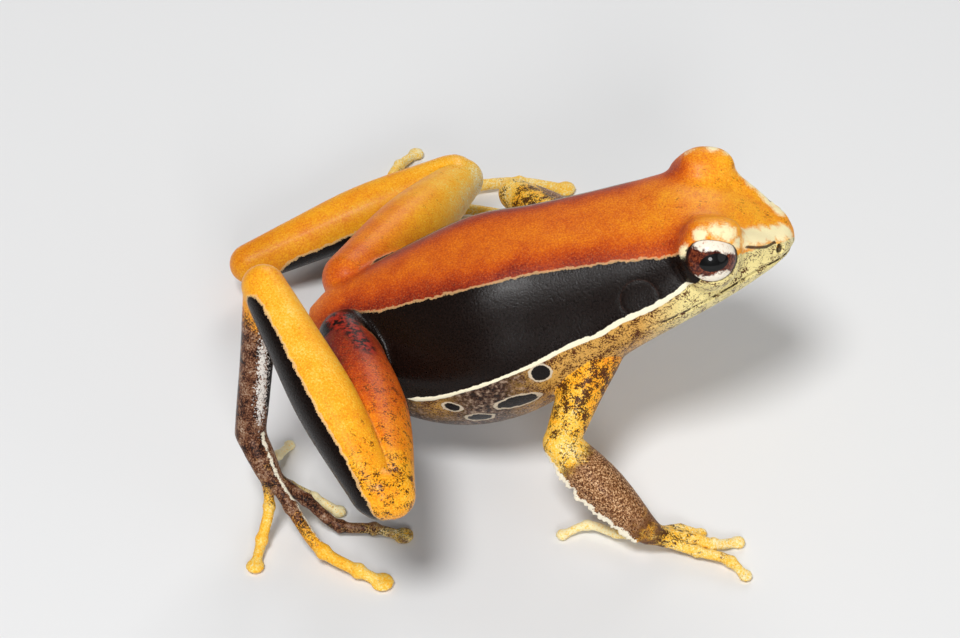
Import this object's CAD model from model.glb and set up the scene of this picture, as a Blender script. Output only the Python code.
"""Still model of Mantophryne insignis, a slender ground frog, sitting up on its hands."""
import math

import bmesh
import bpy
import numpy as np
from mathutils import Matrix, Vector, noise
from mathutils.bvhtree import BVHTree


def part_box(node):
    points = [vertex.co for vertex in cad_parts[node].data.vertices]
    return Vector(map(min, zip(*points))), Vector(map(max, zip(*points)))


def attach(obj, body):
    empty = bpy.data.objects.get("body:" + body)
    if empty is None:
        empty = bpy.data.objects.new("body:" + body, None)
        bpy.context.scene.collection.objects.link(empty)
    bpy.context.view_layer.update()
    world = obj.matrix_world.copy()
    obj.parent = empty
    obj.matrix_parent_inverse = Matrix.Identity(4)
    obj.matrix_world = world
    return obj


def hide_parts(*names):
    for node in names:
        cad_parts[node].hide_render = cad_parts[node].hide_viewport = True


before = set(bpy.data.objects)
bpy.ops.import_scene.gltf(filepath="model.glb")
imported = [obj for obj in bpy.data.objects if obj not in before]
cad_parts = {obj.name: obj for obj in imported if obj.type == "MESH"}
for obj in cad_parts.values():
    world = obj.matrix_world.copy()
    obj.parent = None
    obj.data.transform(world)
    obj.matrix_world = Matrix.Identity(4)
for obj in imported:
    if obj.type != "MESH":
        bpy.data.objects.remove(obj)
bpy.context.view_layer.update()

# The frog's place. It was laid out in millimetres with its head to +X and its left side to
# +Y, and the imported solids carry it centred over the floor. The right foot, the same in
# both, tells where that layout lies in the solids' frame.
MM = 0.001
FOOT_MIDDLE = (-12.42, -11.69, 0.0)
foot_low, foot_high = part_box("foot_right")
layout_origin = (Vector(foot_low) + Vector(foot_high)) / 2 - MM * Vector(FOOT_MIDDLE)
layout_origin.z = foot_low[2]
to_frame = Matrix.Translation(layout_origin) @ Matrix.Scale(MM, 4)


# Trunk and head. One soft body from the vent to the snout, with a flat back that turns
# over a clear edge into the flank. The back, edge, flank, lower and belly lines run along
# it, and the edge line goes on as the brow and the side of the snout.
BACK_LINE = (
    (-13.9, 11.6), (-12.6, 12.9), (-9.6, 14.8), (-5.0, 17.1), (0.0, 19.1), (4.3, 20.4),
    (8.0, 21.3), (12.5, 22.6), (16.0, 23.6), (19.0, 23.4), (21.5, 22.3), (23.4, 21.3),
    (24.5, 20.7), (24.9, 20.2))
EDGE_LINE = (
    (-13.9, 0.7, 11.5), (-12.6, 1.7, 12.5), (-9.6, 2.7, 13.9), (-5.1, 3.7, 16.2),
    (-0.5, 4.4, 18.3), (4.3, 4.2, 19.6), (8.0, 4.4, 20.5), (12.5, 4.8, 21.6),
    (16.0, 5.0, 22.5), (19.0, 4.1, 22.5), (21.5, 3.3, 21.7), (23.4, 2.4, 21.1),
    (24.5, 1.4, 20.6), (24.9, 0.5, 20.2))
FLANK_LINE = (
    (-13.9, 0.8, 10.9), (-12.6, 2.6, 10.7), (-9.6, 5.2, 10.6), (-6.0, 7.4, 11.0),
    (-1.0, 8.9, 11.6), (4.0, 9.0, 12.8), (8.5, 8.4, 14.8), (12.5, 7.8, 17.0),
    (16.0, 7.0, 18.4), (19.5, 5.5, 19.2), (22.0, 3.9, 19.6), (23.6, 2.6, 19.8),
    (24.5, 1.4, 20.0), (24.9, 0.5, 20.0))
LOWER_LINE = (
    (-13.9, 0.6, 10.4), (-12.6, 2.0, 8.9), (-10.0, 3.8, 6.5), (-6.0, 5.4, 5.4),
    (-1.0, 6.4, 5.2), (4.0, 6.4, 6.6), (8.5, 5.9, 9.6), (12.5, 5.8, 13.2),
    (16.0, 5.5, 15.6), (19.5, 4.2, 17.1), (22.0, 2.9, 18.1), (23.6, 1.9, 18.8),
    (24.5, 1.0, 19.3), (24.9, 0.4, 19.8))
BELLY_LINE = (
    (-13.9, 10.3), (-12.6, 8.4), (-10.0, 5.5), (-6.0, 4.2), (-1.0, 3.9), (4.0, 5.0),
    (8.5, 8.2), (12.5, 12.2), (16.0, 14.7), (19.5, 16.5), (22.0, 17.7), (23.6, 18.5),
    (24.5, 19.2), (24.9, 19.8))
VENT_X = -13.9
TRUNK_LENGTH = 38.8
TRUNK_RINGS = 110
RING_POINTS = 72


def flow(knots, stations):
    """Read a smooth line through its knots, given as (station, value, ...), at stations."""
    knots = np.array(knots, float)
    x = knots[:, 0]
    values = knots[:, 1:]
    slope = np.gradient(values, x, axis=0)
    at = np.clip(np.asarray(stations, float), x[0], x[-1])
    i = np.clip(np.searchsorted(x, at) - 1, 0, len(x) - 2)
    step = (x[i + 1] - x[i])[:, None]
    t = ((at - x[i]) / (x[i + 1] - x[i]))[:, None]
    start = (1 + 2 * t) * (1 - t) ** 2 * values[i] + t * (1 - t) ** 2 * step * slope[i]
    end = t ** 2 * (3 - 2 * t) * values[i + 1] + t ** 2 * (t - 1) * step * slope[i + 1]
    return start + end


def section(corners, count):
    """A smooth closed outline of evenly spread points through its corner points."""
    corners = np.array(corners, float)
    turn = np.vstack([corners[-3:], corners, corners[:4]])
    span = np.sqrt(np.linalg.norm(np.diff(turn, axis=0), axis=1)) + 1e-6
    along = np.concatenate([[0.0], np.cumsum(span)])
    fine = np.linspace(along[3], along[3 + len(corners)], 8 * count, endpoint=False)
    loop = flow(np.column_stack([along, turn]), fine)
    closing = np.vstack([loop, loop[:1]])
    length = np.concatenate([[0.0], np.cumsum(np.linalg.norm(np.diff(closing, axis=0), axis=1))])
    even = np.linspace(0.0, length[-1], count, endpoint=False)
    return np.column_stack([np.interp(even, length, closing[:, k]) for k in range(2)])


def loft(mesh, rings):
    """Join rings of equal count into one closed skin, capped at both ends."""
    rows = [[mesh.verts.new(point) for point in ring] for ring in rings]
    count = len(rings[0])
    for first, second in zip(rows, rows[1:]):
        for i in range(count):
            j = (i + 1) % count
            mesh.faces.new((first[i], first[j], second[j], second[i]))
    mesh.faces.new(rows[0][::-1])
    mesh.faces.new(rows[-1])


flesh = bmesh.new()
trunk_turn = np.linspace(0.0, math.pi, TRUNK_RINGS)
trunk_stations = VENT_X + TRUNK_LENGTH * (1 - np.cos(trunk_turn)) / 2
trunk_lines = [flow(line, trunk_stations) for line in
               (BACK_LINE, EDGE_LINE, FLANK_LINE, LOWER_LINE, BELLY_LINE)]
trunk_rings = []
for x, back, edge, flank, lower, belly in zip(trunk_stations, *trunk_lines):
    left = [edge, flank, lower]
    right = [(-y, z) for y, z in reversed(left)]
    outline = section([(0.0, back[0]), *left, (0.0, belly[0]), *right], RING_POINTS)
    trunk_rings.append([(x, y, z) for y, z in outline])
loft(flesh, trunk_rings)
bmesh.ops.recalc_face_normals(flesh, faces=flesh.faces)
trunk_tree = BVHTree.FromBMesh(flesh)


# Eyelids. Each eyeball stands half out of a low bulge of the head, under a fleshy upper lid
# that overhangs it a little. The gaze is out to the side, a little up and a little forward.
EYE_CENTRE = (17.7, 4.9, 22.04)
EYE_RADIUS = 2.3
GAZE_UP = math.radians(31.0)
GAZE_FORWARD = math.radians(10.0)
MOUND_SIZE = (2.6, 2.85, 1.86)
LID_CENTRE = (18.0, 3.95, 23.9)
LID_SIZE = (2.45, 1.72, 1.05)
LID_TILT = math.radians(16.0)


def on_side(point, side):
    """A point given for the left side, moved to the right where side is -1."""
    return Vector((point[0], point[1] * side, point[2]))


def looking(side):
    """The direction in which the eye on this side looks."""
    level = math.cos(GAZE_UP)
    return Vector((math.sin(GAZE_FORWARD) * level, side * math.cos(GAZE_FORWARD) * level,
                   math.sin(GAZE_UP)))


def ball(mesh, centre, size, facing=(0.0, 0.0, 1.0), count=24):
    """A swelling of the flesh: its first size runs fore and aft, its last the way it faces."""
    outward = Vector(facing).normalized()
    along = Vector((1.0, 0.0, 0.0))
    along = (along - outward * along.dot(outward)).normalized()
    across = outward.cross(along)
    rings = []
    for tilt in np.linspace(0.04, math.pi - 0.04, count // 2 + 1):
        height = outward * (size[2] * math.cos(tilt))
        ring = []
        for k in range(count):
            turn = 2 * math.pi * k / count
            ring.append(Vector(centre) + height
                        + along * (size[0] * math.sin(tilt) * math.cos(turn))
                        + across * (size[1] * math.sin(tilt) * math.sin(turn)))
        rings.append(ring)
    loft(mesh, rings)


for side in (-1, 1):
    ball(flesh, on_side(EYE_CENTRE, side), MOUND_SIZE, looking(side), 40)
    ball(flesh, on_side(LID_CENTRE, side), LID_SIZE,
         (0.0, -side * math.sin(LID_TILT), math.cos(LID_TILT)), 40)


# Hind legs. The thigh runs out from the hip to the knee, the shank lies folded back on it,
# the tarsus drops from the heel, and five long toes spread from it, each with swollen
# joints and a small flat pad that stands on the floor.
HIP = (-10.8, 3.6, 12.3)
LEGS = {
    "right": {"knee": (-7.4, -22.3, 13.5), "heel": (-16.9, -5.4, 19.3),
              "sole": (-18.3, -9.8, 7.6)},
    "left": {"knee": (-2.3, 21.0, 8.6), "heel": (-20.0, 15.4, 3.6),
             "sole": (-10.2, 23.6, 2.2)},
}
PAD_Z = 0.36
TOES = {
    "right": {
        1: ((-17.4, -10.4, 5.8), (-17.0, -8.3, 3.6), (-16.5, -6.2, 1.6),
            (-15.8, -3.9, PAD_Z)),
        2: ((-16.8, -12.0, 5.4), (-15.2, -11.7, 3.6), (-13.4, -11.0, 1.5),
            (-11.5, -11.4, PAD_Z)),
        3: ((-16.4, -12.4, 5.2), (-13.9, -12.7, 3.0), (-11.2, -13.6, 0.9),
            (-8.5, -13.8, 0.8), (-6.3, -14.1, PAD_Z)),
        4: ((-16.9, -12.0, 5.6), (-15.0, -14.2, 3.7), (-12.4, -16.8, 1.3),
            (-9.6, -18.4, 0.8), (-7.9, -19.1, PAD_Z)),
        5: ((-17.3, -11.6, 6.0), (-16.8, -13.4, 3.0), (-17.4, -15.2, 1.0),
            (-17.8, -17.3, PAD_Z)),
    },
    "left": {
        1: ((-8.6, 23.4, 1.8), (-6.6, 22.6, 1.0), (-4.6, 22.2, PAD_Z)),
        2: ((-7.2, 24.4, 1.6), (-4.0, 23.9, 0.9), (-0.8, 24.0, PAD_Z)),
        3: ((-6.0, 25.4, 1.5), (-1.6, 26.2, 0.8), (3.0, 25.8, PAD_Z)),
        4: ((-6.2, 26.2, 1.5), (-0.8, 29.2, 0.9), (3.6, 29.9, 0.8), (7.6, 29.6, PAD_Z)),
        5: ((-9.0, 25.2, 1.8), (-8.5, 29.0, 1.0), (-7.4, 32.4, 0.8), (-6.0, 34.5, PAD_Z)),
    },
}
TOE_SIZES = {1: 0.42, 2: 0.46, 3: 0.52, 4: 0.58, 5: 0.5}
PAD_SIZES = {1: 0.5, 2: 0.6, 3: 0.85, 4: 0.95, 5: 0.75}
limbs = {}


def limb(mesh, name, path, radii, flat=1.0, count=24):
    """A round-ended limb along a path; flat squeezes it from above."""
    path = np.array(path, float)
    radii = np.array(radii, float)
    along = np.concatenate([[0.0], np.cumsum(np.linalg.norm(np.diff(path, axis=0), axis=1))])
    cap = np.array([1.0, 0.97, 0.9, 0.78, 0.62, 0.44, 0.22, 0.0])
    stations = np.linspace(0.0, along[-1], max(12, int(along[-1] / 0.4)))
    centres = flow(np.column_stack([along, path]), stations)
    widths = flow(np.column_stack([along, radii]), stations)[:, 0]
    limbs[name] = (centres, widths)
    start = (path[0] - centres[1]) / np.linalg.norm(path[0] - centres[1])
    end = (path[-1] - centres[-2]) / np.linalg.norm(path[-1] - centres[-2])
    rings = [(path[0] + start * radii[0] * c, radii[0] * math.sqrt(max(1 - c * c, 0.002)))
             for c in cap[:-1]]
    rings += list(zip(centres, widths))
    rings += [(path[-1] + end * radii[-1] * c, radii[-1] * math.sqrt(max(1 - c * c, 0.002)))
              for c in cap[-2::-1]]
    middle = np.array([centre for centre, _ in rings])
    forward = np.gradient(middle, axis=0)
    forward /= np.linalg.norm(forward, axis=1)[:, None]
    side = np.cross(forward[0], (0.05, 0.0, 1.0))
    side /= np.linalg.norm(side)
    loops = []
    for (centre, width), ahead in zip(rings, forward):
        side = side - ahead * side.dot(ahead)
        side /= np.linalg.norm(side)
        over = np.cross(side, ahead)
        turn = 2 * math.pi * np.arange(count) / count
        across = side * np.cos(turn)[:, None] + over * np.sin(turn)[:, None] * flat
        loops.append(centre + across * width)
    loft(mesh, loops)


def digit(mesh, name, path, thickness, pad):
    """A finger or toe with swollen joints and a small flat pad at its end."""
    radii = [thickness * 1.15]
    radii += [thickness * (1.0 - 0.06 * i) for i in range(1, len(path) - 1)]
    radii += [thickness * 0.8]
    limb(mesh, name, path, radii, count=16)
    for joint in path[1:-1]:
        ball(mesh, joint, (thickness * 1.18,) * 3, count=14)
    end = Vector(path[-1])
    reach = end - Vector(path[-2])
    reach.z = 0.0
    reach.normalize()
    ball(mesh, end + reach * pad * 0.2, (pad, pad, PAD_Z * 1.12))


for side in (-1, 1):
    limb(flesh, "snout_ridge_%d" % side,
         [on_side(point, side) for point in
          ((19.0, 4.1, 22.7), (21.0, 3.35, 22.0), (22.6, 2.6, 21.2))], (1.1, 0.9, 0.55))

for label, side in (("right", -1), ("left", 1)):
    hip = on_side(HIP, side)
    knee = Vector(LEGS[label]["knee"])
    heel = Vector(LEGS[label]["heel"])
    sole = Vector(LEGS[label]["sole"])
    ahead = Vector((1.0, 0.0, -0.25))
    thigh_end = knee + ahead * 0.7
    shank_end = knee - ahead * 0.5
    belly = hip.lerp(thigh_end, 0.5) + ahead * 0.3
    limb(flesh, "thigh_" + label, (hip, belly, thigh_end), (2.2, 2.9, 1.9), count=32)
    calf = heel.lerp(shank_end, 0.55)
    limb(flesh, "shank_" + label, (heel, heel.lerp(shank_end, 0.25), calf, shank_end),
         (1.75, 2.1, 2.45, 1.9), count=32)
    ball(flesh, knee, (2.1, 2.1, 2.1))
    limb(flesh, "tarsus_" + label, (heel, heel.lerp(sole, 0.5), sole), (1.6, 1.35, 1.3))
    toes = TOES[label]
    ball_of_foot = (Vector(toes[4][0]) + Vector(toes[3][0]) + Vector(toes[5][0])) / 3
    limb(flesh, "sole_" + label, (sole, ball_of_foot), (1.3, 1.15), flat=0.8)
    for number, path in toes.items():
        digit(flesh, "toe_%s_%d" % (label, number), path, TOE_SIZES[number],
              PAD_SIZES[number])


# Arms. They prop the chest up, elbows out, and the hands stand on four short fingers
# without webs; the right forearm carries a thin ragged fringe along its outer edge.
ARMS = {
    "right": {"shoulder": (9.0, -6.4, 13.0), "elbow": (6.4, -11.2, 7.8),
              "wrist": (13.3, -15.5, 2.3)},
    "left": {"shoulder": (9.3, 6.6, 13.2), "elbow": (3.0, 15.0, 11.7),
             "wrist": (9.4, 19.6, 4.0)},
}
FINGERS = {
    "right": {
        1: ((13.0, -15.2, 1.4), (10.9, -14.4, 0.9), (8.6, -13.4, 0.8), (6.7, -14.0, PAD_Z)),
        2: ((14.2, -14.6, 1.3), (16.0, -13.9, 0.9), (17.6, -13.9, PAD_Z)),
        3: ((14.8, -14.9, 1.3), (17.3, -15.0, 0.8), (18.6, -15.5, 0.8),
            (20.5, -14.9, PAD_Z)),
        4: ((14.6, -15.5, 1.3), (17.3, -16.3, 0.8), (19.9, -17.4, 0.8),
            (20.9, -18.4, PAD_Z)),
    },
    "left": {
        1: ((9.9, 19.6, 3.0), (8.8, 20.8, 1.4), (6.8, 22.0, PAD_Z)),
        2: ((10.6, 19.4, 2.8), (12.8, 17.8, 1.0), (14.8, 16.4, PAD_Z)),
        3: ((10.8, 19.9, 2.8), (13.8, 20.8, 1.1), (17.4, 21.8, PAD_Z)),
        4: ((10.5, 20.3, 2.8), (12.8, 23.0, 1.1), (14.8, 25.2, PAD_Z)),
    },
}
FINGER_SIZES = {1: 0.42, 2: 0.42, 3: 0.5, 4: 0.46}
for label in ("right", "left"):
    shoulder = Vector(ARMS[label]["shoulder"])
    elbow = Vector(ARMS[label]["elbow"])
    wrist = Vector(ARMS[label]["wrist"])
    limb(flesh, "upper_arm_" + label, (shoulder, shoulder.lerp(elbow, 0.5), elbow),
         (2.3, 1.75, 1.4))
    limb(flesh, "forearm_" + label, (elbow, elbow.lerp(wrist, 0.45), wrist),
         (1.5, 1.85, 1.2), flat=0.9)
    fingers = FINGERS[label]
    palm = (Vector(fingers[3][0]) + Vector(fingers[4][0])) / 2
    limb(flesh, "hand_" + label, (wrist, palm), (1.15, 1.0), flat=0.75)
    for number, path in fingers.items():
        digit(flesh, "finger_%s_%d" % (label, number), path, FINGER_SIZES[number],
              FINGER_SIZES[number] * 1.25)


# The skin. Trunk, head and limbs grow into one closed surface without a seam, relaxed
# like flesh under skin, most of all where the limbs grow from the trunk.
SKIN_CELL = 0.17


def to_object(work, name):
    """Turn a finished bmesh into an object of the scene."""
    data = bpy.data.meshes.new(name)
    work.to_mesh(data)
    work.free()
    item = bpy.data.objects.new(name, data)
    bpy.context.scene.collection.objects.link(item)
    return item


def replace_mesh(item):
    """Replace an object's mesh by its evaluated one and drop its modifiers."""
    bpy.context.view_layer.update()
    graph = bpy.context.evaluated_depsgraph_get()
    data = bpy.data.meshes.new_from_object(item.evaluated_get(graph))
    item.modifiers.clear()
    item.data = data


def points_of(item):
    """The object's vertices as rows of x, y, z."""
    points = np.empty(len(item.data.vertices) * 3)
    item.data.vertices.foreach_get("co", points)
    return points.reshape(-1, 3)


def move_points(item, points):
    """Put the object's vertices at new places."""
    item.data.vertices.foreach_set("co", points.ravel())
    item.data.update()


def relax(item, rounds, strength, weight=None):
    """Draw each vertex towards its neighbours, and back when strength has two values."""
    points = points_of(item)
    count = len(points)
    edges = np.empty(len(item.data.edges) * 2, int)
    item.data.edges.foreach_get("vertices", edges)
    edges = edges.reshape(-1, 2)
    valence = np.bincount(edges.ravel(), minlength=count)[:, None]
    pull = np.ones((count, 1)) if weight is None else weight[:, None]
    for _ in range(rounds):
        for step in strength:
            total = np.column_stack([
                np.bincount(edges[:, 0], points[edges[:, 1], k], count)
                + np.bincount(edges[:, 1], points[edges[:, 0], k], count) for k in range(3)])
            points = points + pull * step * (total / valence - points)
    move_points(item, points)


def from_point(points, centre):
    """How far each point is from a centre."""
    return np.linalg.norm(points - np.array(centre), axis=1)


def bell(distance, middle, width):
    """1 where a distance has its middle value, falling off to 0 on both sides."""
    return np.exp(-((distance - middle) / width) ** 2)


def unit(values):
    """Values held between 0 and 1."""
    return np.clip(values, 0.0, 1.0)


def near(points, centre, reach):
    """1 at the centre, falling off to 0 beyond its reach."""
    return bell(from_point(points, centre), 0.0, reach)


bmesh.ops.recalc_face_normals(flesh, faces=flesh.faces)
skin = to_object(flesh, "skin")
fuse = skin.modifiers.new("fuse", "REMESH")
fuse.mode = "VOXEL"
fuse.voxel_size = SKIN_CELL
replace_mesh(skin)
relax(skin, 16, (0.5, -0.53))
points = points_of(skin)
joints = [(on_side(HIP, side) + Vector((0.5, side * 2.5, 0.0)), 4.0) for side in (-1, 1)]
joints += [(ARMS[label]["shoulder"], 3.4) for label in ARMS]
joints += [(ARMS[label]["wrist"], 1.8) for label in ARMS]
joints += [(TOES[label][4][0], 2.0) for label in TOES]
joints += [(LEGS[label]["sole"], 1.9) for label in LEGS]
blending = np.zeros(len(points))
for centre, reach in joints:
    blending = np.maximum(blending, near(points, centre, reach))
relax(skin, 40, (0.5,), blending)
points = points_of(skin)
brows = np.zeros(len(points))
for side in (-1, 1):
    for centre, reach in (((18.0, 2.4, 23.2), 2.3), ((15.4, 3.8, 23.0), 1.9),
                          ((20.6, 3.4, 22.6), 2.1)):
        brows = np.maximum(brows, near(points, on_side(centre, side), reach))
relax(skin, 120, (0.5,), brows)


# The head's openings. The mouth is a fine groove under a rolled upper lip, round the whole
# snout; each nostril is a small pit in a raised rim, each eardrum shows as a faint ring, and
# the margin of the lids is a narrow smooth roll around the eye.
MOUTH = ((13.2, 7.7, 17.0), (14.6, 7.3, 17.5), (16.2, 6.9, 18.1), (17.9, 6.25, 18.75),
         (19.4, 5.5, 19.25), (20.8, 4.6, 19.6), (22.2, 3.5, 19.8), (23.4, 2.3, 19.8),
         (24.2, 1.3, 19.7), (24.6, 0.0, 19.65))
NOSTRIL = (23.3, 2.35, 20.65)
EARDRUM = (12.4, 6.9, 19.3)
EARDRUM_RADIUS = 1.5
MOUTH_DEPTH = 0.17
LIP_ROLL = 0.045
LID_ROLL = 0.1
EARDRUM_DEPTH = 0.02
NOSTRIL_RIM = 0.13
NOSTRIL_DEPTH = 0.55
FOLD_DEPTH = 0.16
LINE_RIDGE = 0.09
FRINGE_HALF = 0.24


# The pale line low on the flank, by station and height; ahead of the eye it runs on unseen
# as the upper edge of the lip.
PALE_LINE = (
    (-13.9, 9.6), (-8.0, 8.6), (-4.8, 9.5), (-3.2, 10.3), (-1.6, 11.2), (0.0, 12.0),
    (1.6, 12.8), (3.1, 13.5), (4.7, 14.3), (6.3, 15.2), (7.8, 15.9), (9.4, 16.6),
    (10.7, 17.5), (11.9, 18.1), (12.8, 18.5), (13.6, 18.9), (14.6, 19.5), (15.5, 20.1),
    (16.3, 20.8), (16.9, 21.3), (17.6, 22.6), (18.5, 23.2), (20.0, 23.2), (21.4, 22.6),
    (22.7, 21.9), (23.3, 21.5), (24.9, 20.8))


def above_line(points):
    """How far a point lies above the pale line, in millimetres across the line."""
    height = flow(PALE_LINE, points[:, 0])[:, 0]
    slope = flow(PALE_LINE, points[:, 0] + 0.2)[:, 0] - height
    return (points[:, 2] - height) / np.hypot(1.0, slope / 0.2)


def refine(item, chosen):
    """Halve the edges whose two ends are both among the chosen points."""
    work = bmesh.new()
    work.from_mesh(item.data)
    work.verts.ensure_lookup_table()
    fine = [edge for edge in work.edges
            if chosen[edge.verts[0].index] and chosen[edge.verts[1].index]]
    bmesh.ops.subdivide_edges(work, edges=fine, cuts=1, use_grid_fill=True)
    work.to_mesh(item.data)
    work.free()


def normals_of(item):
    """The object's vertex normals as rows of x, y, z."""
    normals = np.empty(len(item.data.vertices) * 3)
    item.data.vertices.foreach_get("normal", normals)
    return normals.reshape(-1, 3)


def from_line(points, line):
    """How far each point is from a line through its knots, and how far along it lies."""
    line = np.array(line, float)
    nearest = np.full(len(points), 1e9)
    along = np.zeros(len(points))
    passed = 0.0
    for start, end in zip(line[:-1], line[1:]):
        reach = end - start
        length = np.linalg.norm(reach)
        share = unit((points - start) @ reach / length ** 2)
        distance = np.linalg.norm(points - start - share[:, None] * reach, axis=1)
        closer = distance < nearest
        nearest[closer] = distance[closer]
        along[closer] = (passed + share * length)[closer]
        passed += length
    return nearest, along


def along_line(line, along):
    """The points that lie so far along a line through its knots."""
    line = np.array(line, float)
    length = np.concatenate([[0.0], np.cumsum(np.linalg.norm(np.diff(line, axis=0), axis=1))])
    return np.column_stack([np.interp(along, length, line[:, k]) for k in range(3)])


def under_limb(points, name):
    """How deep each point lies under a limb's surface, its share of the way to the limb's
    end, and the nearest place on the limb's middle line."""
    centres, widths = limbs[name]
    distance, along = from_line(points, centres)
    share = along / np.linalg.norm(np.diff(centres, axis=0), axis=1).sum()
    width = np.interp(share, np.linspace(0.0, 1.0, len(widths)), widths)
    return distance - width, share, along_line(centres, along)


def from_fold(points):
    """How far each point is from the crease where a shank lies folded against its thigh."""
    fold = np.full(len(points), 9.0)
    for label in LEGS:
        leg = np.flatnonzero(from_point(points, LEGS[label]["knee"]) < 15.0)
        thigh, share, _ = under_limb(points[leg], "thigh_" + label)
        shank = under_limb(points[leg], "shank_" + label)[0]
        between = abs(thigh - shank) + 2.0 * np.maximum(share - 0.8, 0.0)
        fold[leg] = np.minimum(fold[leg], np.where(abs(thigh) < 1.2, between, 9.0))
    return fold


def tree_of(item):
    """A search tree over the object's faces."""
    return BVHTree.FromPolygons([vertex.co for vertex in item.data.vertices],
                                [face.vertices for face in item.data.polygons])


def on_skin(tree, point):
    """The nearest place on the skin and the way it faces there."""
    place, normal, _, _ = tree.find_nearest(Vector(point))
    return np.array(place), np.array(normal)


points = points_of(skin)
refine(skin, (points[:, 0] > 10.6) & (points[:, 2] > 13.6))
points = points_of(skin)
head = unit((points[:, 0] - 10.6) / 0.8) * unit(points[:, 2] - 13.6)
relax(skin, 12, (0.5, -0.52), head)
skin_tree = tree_of(skin)
mouth = [on_skin(skin_tree, on_side(point, side))[0] for side, knots in
         ((-1, MOUTH), (1, MOUTH[-2::-1])) for point in knots]
mouth = flow(np.column_stack([np.arange(len(mouth)), np.array(mouth)]),
             np.linspace(0, len(mouth) - 1, 90))
rims = [on_skin(skin_tree, on_side(NOSTRIL, side)) for side in (-1, 1)]
drums = [on_skin(skin_tree, on_side(EARDRUM, side)) for side in (-1, 1)]
points = points_of(skin)
chosen = np.zeros(len(points), bool)
ahead = points[:, 0] > 11.0
chosen[ahead] = from_line(points[ahead], mouth)[0] < 0.5
for place, _ in rims:
    chosen |= from_point(points, place) < 0.8
for side in (-1, 1):
    outward = from_point(points, on_side(EYE_CENTRE, side))
    chosen |= abs(outward - EYE_RADIUS) < 0.4
on_flank = (abs(points[:, 0] - 5.0) < 12.0) & (abs(points[:, 1]) > 5.0)
on_flank &= abs(points[:, 1]) < 9.6
chosen |= on_flank & (abs(above_line(points)) < 0.5)
elbow = np.array(ARMS["right"]["elbow"])
wrist = np.array(ARMS["right"]["wrist"])
edgeways = np.array((-0.71, -0.475, -0.528))
fringe_side = edgeways * 2.1 + np.array((0.0, -0.743, 0.669)) * 0.55
fringe = [on_skin(skin_tree, elbow + (wrist - elbow) * share + fringe_side)[0]
          for share in np.linspace(-0.04, 1.0, 24)]
chosen |= from_line(points, fringe)[0] < 0.7
chosen |= from_fold(points) < 0.6
refine(skin, chosen)
points = points_of(skin)
normals = normals_of(skin)
ahead = points[:, 0] > 10.6
distance = from_line(points[ahead], mouth)[0]
height = np.zeros(len(points))
height[ahead] -= MOUTH_DEPTH * bell(distance, 0.0, 0.1)
height[ahead] += LIP_ROLL * bell(distance, 0.32, 0.16)
for place, _ in drums:
    height -= EARDRUM_DEPTH * bell(from_point(points, place), EARDRUM_RADIUS, 0.18)
height -= FOLD_DEPTH * bell(from_fold(points), 0.0, 0.25)
for side in (-1, 1):
    outward = from_point(points, on_side(EYE_CENTRE, side))
    height += LID_ROLL * bell(outward, EYE_RADIUS + 0.13, 0.16)
on_flank = (abs(points[:, 0] - 5.3) < 11.2) & (abs(points[:, 1]) > 5.0)
on_flank &= abs(points[:, 1]) < 9.6
fade = unit(points[:, 0] + 5.9) * unit((16.5 - points[:, 0]) / 0.5)
height += LINE_RIDGE * on_flank * fade * bell(above_line(points), 0.0, 0.2)
distance, along = from_line(points, fringe)
ragged = np.array([noise.noise((share * 1.3, 4.0, 0.0)) + 0.6 * noise.noise((share * 3.9, 8.0, 0.0))
                   for share in np.linspace(0.0, 12.0, 400)])
ragged = np.interp(along, np.linspace(0.0, 12.0, 400), ragged)
growth = (0.38 + 0.42 * ragged) * np.clip(along / 1.5, 0.2, 1.0)
points += (growth * bell(distance, 0.0, FRINGE_HALF))[:, None] * edgeways
points += height[:, None] * normals
for place, facing in rims:
    distance = from_point(points, place)
    height = NOSTRIL_RIM * bell(distance, 0.48, 0.14) - NOSTRIL_DEPTH * bell(distance, 0.0, 0.29)
    points += height[:, None] * facing
points[:, 2] = np.maximum(points[:, 2], 0.0)
move_points(skin, points)


# The eye openings. The sockets are hollowed out for the eyeballs.
socket_mesh = bmesh.new()
for side in (-1, 1):
    ball(socket_mesh, on_side(EYE_CENTRE, side), (EYE_RADIUS + 0.02,) * 3,
         looking(side), 96)
bmesh.ops.recalc_face_normals(socket_mesh, faces=socket_mesh.faces)
sockets = to_object(socket_mesh, "sockets")
hollow = skin.modifiers.new("hollow", "BOOLEAN")
hollow.operation = "DIFFERENCE"
hollow.solver = "EXACT"
hollow.object = sockets
replace_mesh(skin)
bpy.data.objects.remove(sockets)

# Where the colours lie. Each marking is kept as a field over the skin: a distance in
# millimetres from the marking's edge, positive inside it, or a share from 0 to 1. The edges
# are drawn later, crisp and ragged, where a field passes zero.
PATTERN_EDGE = EDGE_LINE[:8] + (
    (14.0, 5.1, 22.0), (15.4, 5.5, 22.7), (16.3, 6.0, 22.3), (17.2, 6.4, 21.4),
    (18.6, 6.2, 21.4), (20.0, 4.7, 21.6), (21.9, 3.1, 21.0), (22.7, 2.6, 20.9),
    (23.3, 2.3, 20.75), (24.2, 1.4, 20.4), (24.9, 0.5, 20.1))
WARMTH = ((-13.9, 0.42), (-5.0, 0.37), (0.0, 0.4), (8.0, 0.44), (12.5, 0.48), (16.0, 0.58),
          (19.0, 0.66), (21.5, 0.75), (23.0, 0.92), (24.9, 1.05))
points = points_of(skin)
mirrored = points * (1.0, 0.0, 1.0) + abs(points) * (0.0, 1.0, 0.0)
station = points[:, 0]
edge = flow(PATTERN_EDGE, station)
back = flow(BACK_LINE, station)[:, 0]
flank = flow(FLANK_LINE, station)
inward = np.column_stack([-flank[:, 0], back - flank[:, 1]])
inward /= np.linalg.norm(inward, axis=1)[:, None]
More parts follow.
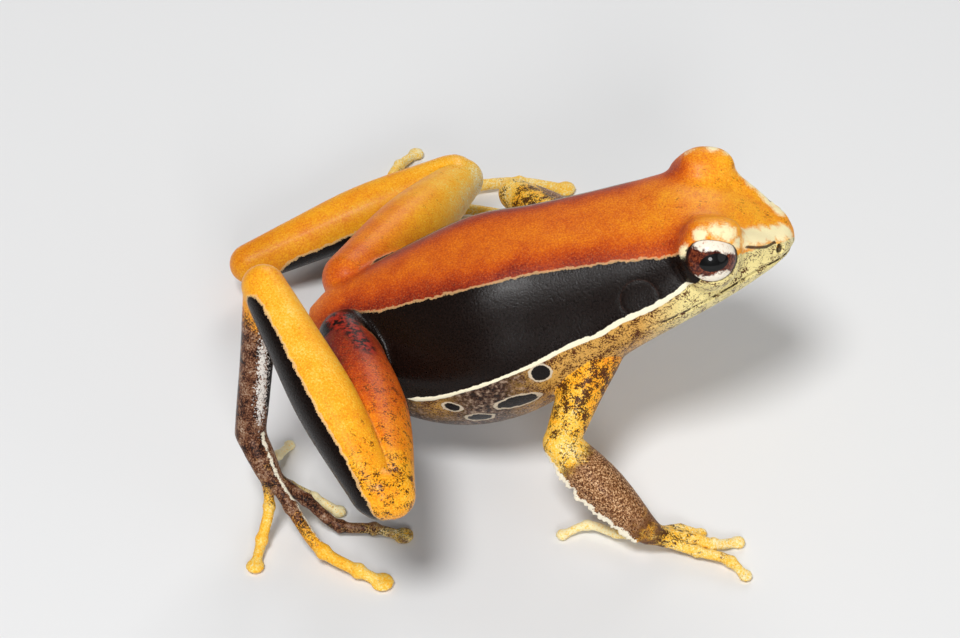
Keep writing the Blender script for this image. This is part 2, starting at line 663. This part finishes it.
field = {
    "bright": np.sum((mirrored[:, 1:] - edge) * inward, axis=1),
    "below": -above_line(points),
    "warmth": flow(WARMTH, station)[:, 0],
    "speckle": np.interp(station, (-14.0, 8.0, 12.0, 17.0, 25.0), (0.05, 0.08, 0.1, 0.22, 0.3)),
    "brown": np.zeros(len(points)),
    "silver": np.full(len(points), -1.0),
    "wet": np.zeros(len(points)),
    "rim": 0.65 * unit((station + 10.5) / 1.5) * unit((6.0 - mirrored[:, 1]) / 0.5),
    "dusk": np.zeros(len(points)),
}
field["bright"] += 1.6 * np.clip(-10.8 - station, 0.0, 3.0)
field["bright"] -= 3.0 * np.clip(edge[:, 1] - 0.7 - points[:, 2], 0.0, 3.0) * (station > 14.0)
field["warmth"] -= 0.32 * bell(field["bright"], 0.0, 1.6) * unit((15.5 - station) / 4.0)
field["warmth"] -= 0.28 * near(mirrored, (14.9, 4.8, 23.0), 1.5)
field["warmth"] += 0.35 * near(mirrored, (24.2, 0.6, 20.8), 1.6)
field["warmth"] -= 0.22 * near(mirrored, (15.7, 3.4, 24.0), 1.3)
field["warmth"] = np.where((field["below"] > 0.0) & (station > 0.0), 0.66, field["warmth"])
field["bright"] = np.clip(field["bright"], -1.3, 1.3)
throat = np.maximum(unit((station - 1.8) / 4.0),
                    0.8 * near(mirrored, (-3.6, 8.2, 8.6), 1.8))
lip = unit((station - 12.5) / 3.5)

# Limbs. Each has a bright side, given by the way it faces and how far it reaches round the
# limb, and shares of warmth, speckle and brown that change from its root to its tip.
ROUND = ((0.0, 0.0, 1.0), 9.0)
LOOKS = {
    "thigh_right": (((0.3, -0.2, 0.93), 1.3), (-0.04, 0.64), (0.3, 0.62), (0.0, 0.0)),
    "thigh_left": (((0.0, 0.0, 1.0), 0.9), (0.42, 0.84), (0.25, 0.1), (0.0, 0.0)),
    "shank_right": (((0.676, 0.211, 0.491), 0.15), (0.77, 0.7), (-0.8, 0.6), (0.0, 0.0)),
    "shank_left": (((-0.15, 0.45, 0.88), 0.75), (0.62, 0.7), (0.0, 0.0), (0.0, 0.0)),
    "tarsus": (ROUND, (0.6, 0.6), (0.4, 0.4), (0.85, 1.0)),
    "sole": (ROUND, (0.75, 0.75), (0.4, 0.4), (1.0, 0.9)),
    "toe_right_1": (ROUND, (1.0, 1.0), (0.3, 0.1), (0.0, 0.0)),
    "toe_right_2": (ROUND, (0.98, 1.0), (0.6, 0.3), (0.0, 0.0)),
    "toe_right_3": (ROUND, (0.95, 0.9), (0.6, 0.5), (1.4, 0.3)),
    "toe_right_4": (ROUND, (0.7, 0.84), (0.3, 0.1), (1.5, -0.9)),
    "toe_right_5": (ROUND, (0.78, 0.84), (0.1, 0.1), (1.2, -4.0)),
    "toe": (ROUND, (0.85, 0.88), (0.25, 0.1), (0.8, -1.0)),
    "upper_arm": (ROUND, (0.7, 0.84), (1.2, 0.7), (0.0, 0.0)),
    "forearm": (ROUND, (0.87, 0.72), (0.4, 1.0), (-0.3, 1.5)),
    "hand": (ROUND, (0.82, 0.88), (1.1, 0.8), (0.4, 0.0)),
    "finger": (ROUND, (0.88, 0.9), (0.7, 0.2), (0.0, 0.0)),
    "finger_right_1": (ROUND, (1.0, 1.0), (0.1, 0.0), (0.0, 0.0)),
}


def depth_under(tree, points):
    """How far each point is from a surface."""
    return np.array([tree.find_nearest(Vector(point))[3] for point in points])


outside = {"trunk": (np.arange(len(points)), depth_under(trunk_tree, points), field)}
for name, (centres, _) in limbs.items():
    if name.startswith("snout"):
        continue
    low = centres.min(axis=0) - 3.6
    high = centres.max(axis=0) + 3.6
    chosen = np.flatnonzero(np.all((points > low) & (points < high), axis=1))
    own = points[chosen]
    depth, share, middle = under_limb(own, name)
    depth = np.maximum(depth, 0.0)
    look = next(LOOKS[key] for key in (name, name[:-2], name.split("_")[0], name.rsplit("_", 1)[0])
                if key in LOOKS)
    (facing, reach), warmth, speckle, brown = look
    facing = np.array(facing) / np.linalg.norm(facing)
    looks = {
        "bright": np.clip((own - middle) @ facing + reach, -1.3, 1.3),
        "below": field["below"][chosen],
        "warmth": warmth[0] + (warmth[1] - warmth[0]) * share,
        "speckle": speckle[0] + (speckle[1] - speckle[0]) * share,
        "brown": unit(brown[0] + (brown[1] - brown[0]) * share),
        "silver": np.full(len(own), -1.0),
        "wet": np.zeros(len(own)),
        "rim": np.full(len(own), float(name.startswith("shank"))),
        "dusk": np.full(len(own), float(name.startswith(("tarsus", "sole", "toe")))),
    }
    if name.startswith(("shank", "tarsus", "sole", "toe")):
        looks["below"] = np.full(len(own), -9.0)
    if name.startswith("thigh"):
        looks["warmth"] += 0.04 * (own - middle)[:, 0]
        root = 1.7 if name.endswith("right") else 0.3
        looks["bright"] -= root * unit(1.0 - share / 0.25)
    if name == "shank_left":
        looks["bright"] += 1.5 * unit(1.0 - share / 0.15)
    if name.startswith("forearm"):
        looks["brown"] = np.interp(share, (0.1, 0.3, 0.75, 1.0), (0.0, 1.0, 0.9, 0.4))
    if name.startswith("tarsus"):
        looks["brown"] *= unit(share / 0.3)
        looks["speckle"] *= unit(share / 0.3)
        sideways = (own - middle)[:, 0] * (1.0 if name.endswith("right") else -1.0)
        strip = 0.35 + 0.4 * share
        looks["silver"] = 0.3 - abs(sideways - strip)
        looks["bright"] = strip + 0.35 - sideways
        looks["wet"] += 1.0
    outside[name] = (chosen, depth, looks)
nearest = np.full(len(points), 99.0)
for chosen, depth, _ in outside.values():
    nearest[chosen] = np.minimum(nearest[chosen], depth)
total = np.zeros(len(points))
mixed = {key: np.zeros(len(points)) for key in field}
BLEND = 0.5
for chosen, depth, looks in outside.values():
    weight = np.exp(-(depth - nearest[chosen]) / BLEND)
    total[chosen] += weight
    for key, values in looks.items():
        mixed[key][chosen] += weight * values
field = {key: values / total for key, values in mixed.items()}
field["throat"] = throat
field["lip"] = lip
on_flank = (abs(points[:, 0] - 5.3) < 11.2) & (mirrored[:, 1] > 5.0) & (mirrored[:, 1] < 9.7)
line_half = np.interp(station, (-5.9, -5.0, -2.5, 3.0, 12.0, 16.0, 16.5),
                      (0.0, 0.28, 0.16, 0.15, 0.22, 0.2, 0.0))
field["line"] = np.where(on_flank, line_half - abs(above_line(points)), -9.0)


# Single marks. The black spots on the belly with their pale rings, the pale blotches on the
# lids and snout, the dark strokes on the head, the red of the groin and the gloss of the knees.
BELLY_SPOTS = (
    ((4.79, -8.85, 13.26), 0.75, 0.7, 0.0), ((3.01, -8.76, 10.14), 1.6, 0.68, 18.0),
    ((0.0, -8.21, 7.85), 0.95, 0.5, 8.0), ((-2.23, -8.47, 9.2), 0.6, 0.43, -10.0),
    ((5.2, 8.7, 12.6), 0.9, 0.7, 10.0), ((2.2, 8.8, 10.3), 1.3, 0.7, 14.0),
    ((-1.6, 8.4, 8.6), 0.8, 0.55, 0.0), ((1.5, -5.2, 5.3), 1.2, 0.8, 0.0),
    ((-2.0, 3.0, 4.3), 1.1, 0.9, 30.0), ((4.5, -1.5, 5.4), 0.9, 0.7, 0.0),
    ((4.0, 4.2, 6.0), 1.0, 0.6, 20.0), ((-3.2, -3.2, 4.4), 0.8, 0.7, 0.0))
PALE_BLOTCHES = {
    -1: (((16.9, 5.3, 24.5), 0.6), ((18.2, 5.0, 24.5), 0.7), ((18.9, 4.9, 24.3), 0.8),
         ((19.6, 4.9, 23.3), 0.6), ((15.8, 5.7, 23.2), 0.5), ((20.3, 3.9, 22.7), 0.75),
         ((21.0, 3.2, 22.5), 0.95), ((21.8, 2.6, 22.2), 1.0), ((22.6, 2.0, 21.8), 0.95),
         ((23.4, 1.4, 21.3), 0.85), ((24.1, 0.7, 20.9), 0.8)),
    1: (((16.4, 5.0, 24.9), 0.5), ((18.4, 4.9, 24.8), 0.5), ((19.4, 4.6, 24.2), 0.5),
        ((20.0, 4.2, 23.5), 0.45), ((20.6, 3.9, 22.8), 0.45), ((21.4, 3.4, 22.2), 0.55),
        ((22.2, 2.9, 21.7), 0.6), ((23.0, 2.3, 21.3), 0.65), ((23.7, 1.6, 21.1), 0.6)),
}
STROKES = (
    ((19.8, 4.5, 22.7), (20.6, 3.9, 22.2), (21.4, 3.4, 21.75), (22.1, 2.95, 21.4),
     (22.8, 2.45, 21.15), (23.1, 2.4, 20.9)),
    ((18.0, 2.6, 24.3), (19.2, 2.9, 23.9), (20.4, 3.2, 23.0)),
)
surface = tree_of(skin)
field["spot"] = np.full(len(points), -9.0)
for centre, length, height, turn in BELLY_SPOTS:
    centre = on_skin(surface, centre)[0]
    offset = points - centre
    turn = math.radians(turn)
    upright = offset[:, 2] if abs(centre[1]) > 6.0 else offset[:, 1]
    first = offset[:, 0] * math.cos(turn) + upright * math.sin(turn)
    second = upright * math.cos(turn) - offset[:, 0] * math.sin(turn)
    reach = np.sqrt((first / length) ** 2 + (second / height) ** 2) + 1e-6
    beyond = np.linalg.norm(offset, axis=1) > 3.0 * length
    inside = np.where(beyond, -9.0, (1.0 - reach) * min(length, height))
    field["spot"] = np.maximum(field["spot"], inside)
field["spot"] = np.where(field["bright"] > 0.3, -9.0, field["spot"])
field["cream"] = np.full(len(points), -9.0)
for side, blotches in PALE_BLOTCHES.items():
    for centre, size in blotches:
        inside = size - from_point(points, on_side(centre, side))
        field["cream"] = np.maximum(field["cream"], inside)
field["ink"] = np.full(len(points), -9.0)
ahead = points[:, 0] > 11.0
for knots in STROKES:
    for side in (-1, 1):
        line = [on_skin(surface, on_side(knot, side))[0] for knot in knots]
        distance = from_line(points[ahead], line)[0]
        width = 0.13 if knots is STROKES[0] else 0.02
        field["ink"][ahead] = np.maximum(field["ink"][ahead], width - distance)
mouth_floor = [on_skin(surface, point)[0] for point in mouth]
distance = from_line(points[ahead], mouth_floor)[0]
field["ink"][ahead] = np.maximum(field["ink"][ahead], 0.08 - distance)
for place, facing in rims:
    inside = 0.36 - from_point(points, place - 0.1 * facing)
    field["ink"] = np.maximum(field["ink"], inside)
for place, facing in drums:
    ring = abs(from_point(points, place) - EARDRUM_RADIUS)
    arc = np.where(above_line(points) > 0.5, 0.05, -9.0)
    field["ink"] = np.maximum(field["ink"], arc - ring)
for side in (-1, 1):
    from_eye = from_point(points, on_side(EYE_CENTRE, side))
    field["ink"] = np.maximum(field["ink"], 0.06 - abs(from_eye - EYE_RADIUS))
groin = np.minimum(
    from_line(points, ((-11.6, -3.4, 14.3), (-10.0, -5.4, 14.6), (-8.8, -7.8, 15.0)))[0],
    from_line(points, ((-11.6, 3.4, 11.0), (-10.0, 5.4, 11.0), (-8.8, 7.8, 11.0)))[0])
field["red"] = np.clip(1.2 - groin, -1.0, 1.0)
distance, along = from_line(points, fringe)
offset = points - along_line(fringe, along)
outward = offset @ edgeways
sideways = np.sqrt(np.maximum(distance ** 2 - outward ** 2, 0.0))
field["fringe"] = np.where((distance < 2.0) & (outward > -0.2), FRINGE_HALF - sideways, -9.0)
front_edge = [on_skin(surface, elbow + (wrist - elbow) * share - edgeways * 2.2)[0]
              for share in np.linspace(0.25, 0.95, 16)]
field["fringe"] = np.maximum(field["fringe"], 0.08 - from_line(points, front_edge)[0])
foot_line = [on_skin(surface, knot)[0] for knot in
             ((-16.9, -10.6, 8.2), (-16.4, -12.2, 6.6), (-15.2, -13.4, 5.0), (-13.8, -14.6, 3.6),
              (-12.4, -16.1, 2.2))]
field["fringe"] = np.maximum(field["fringe"], 0.16 - from_line(points, foot_line)[0])
for label in LEGS:
    field["wet"] = np.maximum(field["wet"], near(points, LEGS[label]["knee"], 4.0))
for key, values in field.items():
    skin.data.attributes.new(key, "FLOAT", "POINT").data.foreach_set(
        "value", np.asarray(values, np.float32))
skin.data.transform(to_frame)
skin.data.shade_smooth()
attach(skin, "root")
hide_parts(*[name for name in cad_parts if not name.startswith("eye")])


# Living frog skin. Thin moist skin with tiny grains. It gives the eye a saturated orange
# with a fine grain, near-black flanks that sparkle, and yellow parts peppered with brown.
def linear(code):
    """A colour given as an sRGB hex code, in linear light."""
    parts = [int(code[i:i + 2], 16) / 255 for i in (1, 3, 5)]
    return (*[c / 12.92 if c <= 0.04045 else ((c + 0.055) / 1.055) ** 2.4 for c in parts], 1.0)


def add(tree, kind, inputs, ramp=None, out=0, **settings):
    """Add a node, fill its inputs, in their order or by name, and return its output. A Mix
    node mixes colours, and a Math node multiplies, then adds any third input, unless set."""
    item = tree.nodes.new("ShaderNode" + kind)
    if kind == "Mix":
        item.data_type = "RGBA"
    if kind == "Math":
        item.operation = "MULTIPLY_ADD" if len(inputs) == 3 else "MULTIPLY"
    for name, value in settings.items():
        setattr(item, name, value)
    ends = [socket for socket in item.inputs if socket.enabled]
    if isinstance(inputs, dict):
        named = {socket.name: socket for socket in ends}
        ends = [named[name] for name in inputs]
        inputs = inputs.values()
    for socket, value in zip(ends, inputs):
        if isinstance(value, bpy.types.NodeSocket):
            tree.links.new(value, socket)
        else:
            socket.default_value = linear(value) if isinstance(value, str) else value
    if ramp:
        stops = item.color_ramp.elements
        while len(stops) < len(ramp):
            stops.new(0.5)
        for stop, (place, code) in zip(stops, ramp):
            stop.position = place
            stop.color = linear(code)
    return [socket for socket in item.outputs if socket.enabled][out]


SOFT = {"interpolation_type": "SMOOTHSTEP"}
frog_skin = bpy.data.materials.new("living_frog_skin")
frog_skin.use_nodes = True
tree = frog_skin.node_tree
shader = tree.nodes["Principled BSDF"]
mesh_place = tree.nodes.new("ShaderNodeTexCoord").outputs["Object"]
mm = add(tree, "VectorMath", (mesh_place, 1 / MM), operation="SCALE")
lie = {key: add(tree, "Attribute", {}, out=2, attribute_name=key) for key in field}

# Grains of the skin, by how many there are in a millimetre: level runs from 0 to 1, and
# swing is the same about 0. Each MapRange below takes its value and the ends of its range.
level = {}
swing = {}
for name, scale, detail, rough in (
        ("clouds", 0.45, 3.0, 0.6), ("clumps", 1.3, 2.0, 0.5), ("wobble", 1.5, 4.0, 0.6),
        ("worms", 2.6, 3.0, 0.6), ("grit", 6.5, 3.0, 0.7), ("pepper", 7.0, 3.0, 0.75)):
    level[name] = add(tree, "TexNoise", (mm, scale, detail, rough))
    swing[name] = add(tree, "Math", (level[name], 0.5), operation="SUBTRACT")
grain = add(tree, "TexVoronoi", {"Vector": mm, "Scale": 6.5})

# The bright skin runs from brick red over rust and orange to yellow and cream, with pale
# grains, and brown pepper that gathers in clumps
hue = add(tree, "Math", (swing["grit"], 0.7, lie["warmth"]))
hue = add(tree, "Math", (swing["clouds"], 0.35, hue))
bright_skin = add(tree, "ValToRGB", {"Fac": hue}, ramp=(
    (0.0, "#701f14"), (0.15, "#a03614"), (0.3, "#c45014"), (0.45, "#de7014"),
    (0.6, "#f0931c"), (0.75, "#fdb424"), (0.87, "#f8cc58"), (1.0, "#f6eabc")))
share = add(tree, "MapRange", (grain, 0.3, 0.1, 0.0, 0.16), **SOFT)
bright_skin = add(tree, "Mix", (share, bright_skin, "#ffdc98"))
share = add(tree, "Math", (lie["speckle"], -0.3, 0.24))
share = add(tree, "Math", (swing["clumps"], -0.7, share))
share = add(tree, "Math", (swing["pepper"], share), operation="SUBTRACT")
share = add(tree, "MapRange", (share, -0.02, 0.04), **SOFT)
heavy = add(tree, "Math", (lie["speckle"], 1.8), use_clamp=True)
strength = add(tree, "Math", (heavy, 0.46, 0.5))
share = add(tree, "Math", (share, strength))
peppery = add(tree, "Mix", (heavy, "#b05a14", "#40190a"))
bright_skin = add(tree, "Mix", (share, bright_skin, peppery))

# Brown mottled skin of the forearms, in coarser patches on the feet
arm_mottle = add(tree, "ValToRGB", {"Fac": level["pepper"]}, ramp=(
    (0.37, "#32160a"), (0.46, "#6c3e20"), (0.54, "#aa784c"), (0.66, "#f0cfa2")))
patches = add(tree, "Math", (swing["clumps"], 0.6, level["pepper"]))
leg_mottle = add(tree, "ValToRGB", {"Fac": patches}, ramp=(
    (0.34, "#160c07"), (0.44, "#40241a"), (0.52, "#70422a"), (0.62, "#8c6a50"),
    (0.74, "#b8a490")))
mottle = add(tree, "Mix", (lie["dusk"], arm_mottle, leg_mottle))
share = add(tree, "Math", (swing["pepper"], -2.0, lie["brown"]))
share = add(tree, "Math", (swing["wobble"], 0.9, share))
share = add(tree, "MapRange", (share, 0.1, 0.7), **SOFT)
strength = add(tree, "Math", (lie["brown"], 4.0), use_clamp=True)
share = add(tree, "Math", (share, strength))
bright_skin = add(tree, "Mix", (share, bright_skin, mottle))

# The dark flank, and under the pale line the belly's pale worm marks and the throat's
# speckled cream
share = add(tree, "MapRange", (level["grit"], 0.35, 0.75))
dark_skin = add(tree, "Mix", (share, "#0b0604", "#1d110d"))
belly_skin = add(tree, "ValToRGB", {"Fac": level["worms"]}, ramp=(
    (0.4, "#1c0f09"), (0.48, "#40291e"), (0.56, "#685040"), (0.68, "#a8927c")))
throat_skin = add(tree, "Mix", (lie["lip"], "#d2a050", "#eedd98"))
share = add(tree, "Math", (swing["clumps"], -0.5, 0.01))
share = add(tree, "Math", (lie["lip"], 0.05, share))
share = add(tree, "Math", (swing["pepper"], share), operation="SUBTRACT")
share = add(tree, "MapRange", (share, -0.05, 0.06), **SOFT)
throat_skin = add(tree, "Mix", (share, throat_skin, "#54290c"))
under_skin = add(tree, "Mix", (lie["throat"], belly_skin, throat_skin))
below_edge = add(tree, "Math", (swing["wobble"], 0.35, lie["below"]))
share = add(tree, "MapRange", (below_edge, -0.02, 0.03))
colour = add(tree, "Mix", (share, dark_skin, under_skin))

# The bright skin over them, with a ragged edge and a thin pale rim
bright_edge = add(tree, "Math", (swing["wobble"], 0.55, lie["bright"]))
bright_edge = add(tree, "Math", (swing["grit"], 0.3, bright_edge))
share = add(tree, "MapRange", (bright_edge, -0.03, 0.03))
colour = add(tree, "Mix", (share, colour, bright_skin))
share = add(tree, "Math", (bright_edge, 0.0, 0.1), operation="COMPARE")
share = add(tree, "Math", (share, lie["rim"]))
share = add(tree, "Math", (share, 0.75))
dark_below = add(tree, "Math", (below_edge, 0.0), operation="LESS_THAN")
share = add(tree, "Math", (share, dark_below))
colour = add(tree, "Mix", (share, colour, "#f2c488"))

# Single marks over all, each with its own raggedness, the softness of its edge, its
# strength and its colour
share = add(tree, "MapRange", (level["worms"], 0.42, 0.58))
groin_skin = add(tree, "Mix", (share, "#180a06", "#a02a18"))
for mark, waves, grit, low, high, strength, paint in (
        ("spot", 0.5, 0.0, -0.22, -0.16, 0.85, "#d8cab2"),
        ("spot", 0.5, 0.0, -0.04, 0.0, 1.0, "#120c0b"),
        ("red", 1.1, 0.6, 0.0, 0.8, 1.0, groin_skin),
        ("cream", 1.0, 0.7, -0.25, 0.35, 0.95, "#fdf1c0"),
        ("line", 0.3, 0.0, -0.02, 0.03, 1.0, "#f7efd2"),
        ("fringe", 0.6, 0.5, -0.03, 0.03, 1.0, "#efe6d0"),
        ("silver", 0.7, 2.4, -0.02, 0.1, 0.95, "#e8e2da"),
        ("ink", 0.0, 0.2, -0.02, 0.04, 0.9, "#2a140a")):
    share = add(tree, "Math", (swing["wobble"], waves, lie[mark]))
    share = add(tree, "Math", (swing["grit"], grit, share))
    share = add(tree, "MapRange", (share, low, high, 0.0, strength), **SOFT)
    colour = add(tree, "Mix", (share, colour, paint))
tree.links.new(colour, shader.inputs["Base Color"])

# Moist sheen: the flank and the wet parts are the glossiest
share = add(tree, "MapRange", (bright_edge, 0.2, -0.2))
share = add(tree, "Math", (share, 0.7))
share = add(tree, "Math", (share, lie["wet"]), operation="MAXIMUM")
roughness = add(tree, "Math", (share, -0.2, 0.42))
roughness = add(tree, "Math", (swing["grit"], 0.2, roughness))
tree.links.new(roughness, shader.inputs["Roughness"])
relief = add(tree, "Math", (grain, -0.6, level["grit"]))
bump = add(tree, "Bump", {"Height": relief, "Strength": 0.5, "Distance": 0.035 * MM})
tree.links.new(bump, shader.inputs["Normal"])
shader.inputs["IOR"].default_value = 1.38
shader.inputs["Specular IOR Level"].default_value = 0.24
shader.inputs["Coat Weight"].default_value = 0.03
shader.inputs["Coat Roughness"].default_value = 0.12
skin.data.materials.clear()
skin.data.materials.append(frog_skin)


# Eyeballs. Wet and glassy, with a level oval pupil, an iris that is cream above and below
# the pupil and dark red-brown beside it, and a thin dark rim.
wet_eye = bpy.data.materials.new("wet_eyeball")
wet_eye.use_nodes = True
tree = wet_eye.node_tree
shader = tree.nodes["Principled BSDF"]
mesh_place = tree.nodes.new("ShaderNodeTexCoord").outputs["Object"]
mm = add(tree, "VectorMath", (mesh_place, 1 / MM), operation="SCALE")
fore = add(tree, "Attribute", {}, out=2, attribute_name="fore")
rise = add(tree, "Attribute", {}, out=2, attribute_name="rise")
threads = add(tree, "TexNoise", {
    "Vector": mm, "Scale": 5.0, "Detail": 4.0, "Roughness": 0.7, "Distortion": 0.6})
wobble = add(tree, "TexNoise", {"Vector": mm, "Scale": 1.6, "Detail": 3.0, "Roughness": 0.6})

# The iris: how far a point is above or below the pupil tells pale from dark
share = add(tree, "MapRange", (threads, 0.45, 0.68))
iris = add(tree, "Mix", (share, "#380d09", "#a2502c"))
share = add(tree, "MapRange", (threads, 0.3, 0.44))
pale = add(tree, "Mix", (share, "#c98a5e", "#f7eedc"))
height = add(tree, "Math", (rise, 0.26), operation="ADD")
height = add(tree, "Math", (height,), operation="ABSOLUTE")
height = add(tree, "Math", (fore, 0.16, height))
height = add(tree, "Math", (wobble, 1.3, height))
share = add(tree, "MapRange", (height, 1.46, 1.62))
colour = add(tree, "Mix", (share, iris, pale))

# The dark rim of the ball where it meets the lids, and the oval pupil
outward = add(tree, "CombineXYZ", (fore, rise, 0.0))
reach = add(tree, "VectorMath", (outward,), operation="LENGTH")
share = add(tree, "MapRange", (reach, 1.8, 1.92))
colour = add(tree, "Mix", (share, colour, "#1a0c08"))
pupil_rise = add(tree, "Math", (fore, -0.12, rise))
pupil_rise = add(tree, "Math", (pupil_rise, 0.2), operation="ADD")
outward = add(tree, "CombineXYZ", (fore, pupil_rise, 0.0))
outward = add(tree, "VectorMath", (outward, (1.14, 0.72, 1.0)), operation="DIVIDE")
reach = add(tree, "VectorMath", (outward,), operation="LENGTH")
share = add(tree, "MapRange", (reach, 1.02, 0.98))
colour = add(tree, "Mix", (share, colour, "#040303"))
tree.links.new(colour, shader.inputs["Base Color"])
shader.inputs["Roughness"].default_value = 0.4
shader.inputs["Specular IOR Level"].default_value = 0.1
shader.inputs["Coat Weight"].default_value = 0.7
shader.inputs["Coat IOR"].default_value = 1.38
shader.inputs["Coat Roughness"].default_value = 0.02
for label, side in (("right", -1), ("left", 1)):
    gaze = looking(side)
    work = bmesh.new()
    ball(work, on_side(EYE_CENTRE, side), (EYE_RADIUS,) * 3, gaze, 64)
    bmesh.ops.recalc_face_normals(work, faces=work.faces)
    eyeball = to_object(work, "eyeball_" + label)
    data = eyeball.data
    fore = Vector((1.0, 0.0, 0.0))
    fore = (fore - gaze * fore.dot(gaze)).normalized()
    rise = gaze.cross(fore) * -side
    offset = points_of(eyeball) - np.array(on_side(EYE_CENTRE, side))
    for key, axis in (("fore", fore), ("rise", rise)):
        data.attributes.new(key, "FLOAT", "POINT").data.foreach_set(
            "value", (offset @ np.array(axis)).astype(np.float32))
    data.transform(to_frame)
    data.shade_smooth()
    data.materials.append(wet_eye)
    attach(eyeball, "root")
    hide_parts("eye_" + label)


# Studio: a pale floor and soft light, with the camera where the photograph was taken from.
CAMERA_TILT = math.radians(42.0)
CAMERA_REACH = 240.0
AIM_HEIGHT = 11.0
camera_data = bpy.data.cameras.new("camera")
camera_data.sensor_width = 36.0
camera_data.lens = 110.7
camera_data.clip_start = 0.01
camera = bpy.data.objects.new("camera", camera_data)
bpy.context.scene.collection.objects.link(camera)
camera.location = to_frame @ Vector((0.0, -CAMERA_REACH * math.cos(CAMERA_TILT),
                                     AIM_HEIGHT + CAMERA_REACH * math.sin(CAMERA_TILT)))
camera.rotation_euler = (math.pi / 2 - CAMERA_TILT, 0.0, 0.0)
bpy.context.scene.camera = camera

floor_mesh = bmesh.new()
bmesh.ops.create_grid(floor_mesh, x_segments=1, y_segments=1, size=1.5)
floor = to_object(floor_mesh, "floor")
lit_middle = Vector((0.0, 0.0, 0.01))
for name, place, size, power in (
        ("key", (-0.12, -0.28, 0.6), 0.2, 3.0), ("front", (0.05, -0.5, 0.27), 0.14, 0.9),
        ("fill", (0.5, -0.35, 0.25), 0.4, 0.4), ("rim", (0.1, 0.5, 0.35), 0.3, 1.0)):
    data = bpy.data.lights.new(name, "AREA")
    data.shape = "DISK"
    data.size = size
    data.energy = power
    lamp = bpy.data.objects.new(name, data)
    lamp.location = place
    lamp.rotation_euler = (lit_middle - Vector(place)).to_track_quat("-Z", "Y").to_euler()
    bpy.context.scene.collection.objects.link(lamp)
world = bpy.data.worlds.new("studio")
world.use_nodes = True
world.node_tree.nodes["Background"].inputs["Color"].default_value = (0.9, 0.92, 0.95, 1.0)
world.node_tree.nodes["Background"].inputs["Strength"].default_value = 0.16
bpy.context.scene.world = world
bpy.context.scene.view_settings.view_transform = "Standard"
